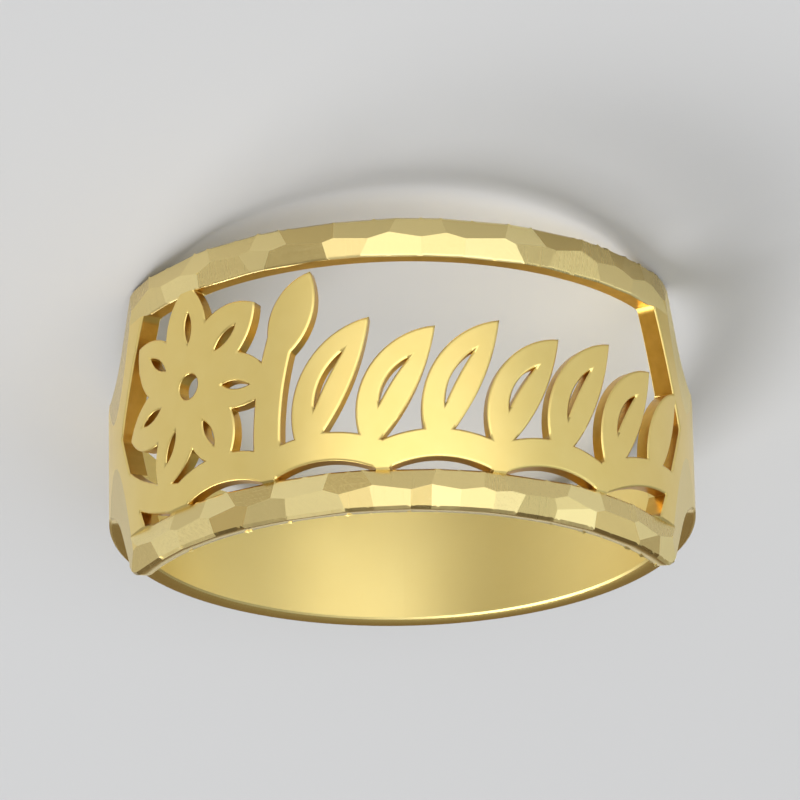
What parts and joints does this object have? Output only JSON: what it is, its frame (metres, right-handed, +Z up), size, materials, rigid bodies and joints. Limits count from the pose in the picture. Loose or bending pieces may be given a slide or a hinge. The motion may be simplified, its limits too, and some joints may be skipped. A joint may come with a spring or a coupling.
{
  "type": "name ring",
  "caption": "Wide gold band ring whose front is pierced, with a flower and a row of leaves between two diamond-cut rails and a plain narrow shank behind.",
  "frame": {"origin": "on the surface that the ring lies on, under the middle of its bounding box", "axes": "+Z up from the surface; the pierced front faces -Y and leans back; the flower is towards +X and the narrow shank towards +Y"},
  "size_m": [0.0186, 0.0196, 0.0107],
  "materials": {
    "yellow_gold": "polished yellow gold, satin on the flat faces of the front and bright in the diamond cuts"
  },
  "bodies": {
    "root": {"ring_band": "yellow_gold"}
  },
  "joints": []
}
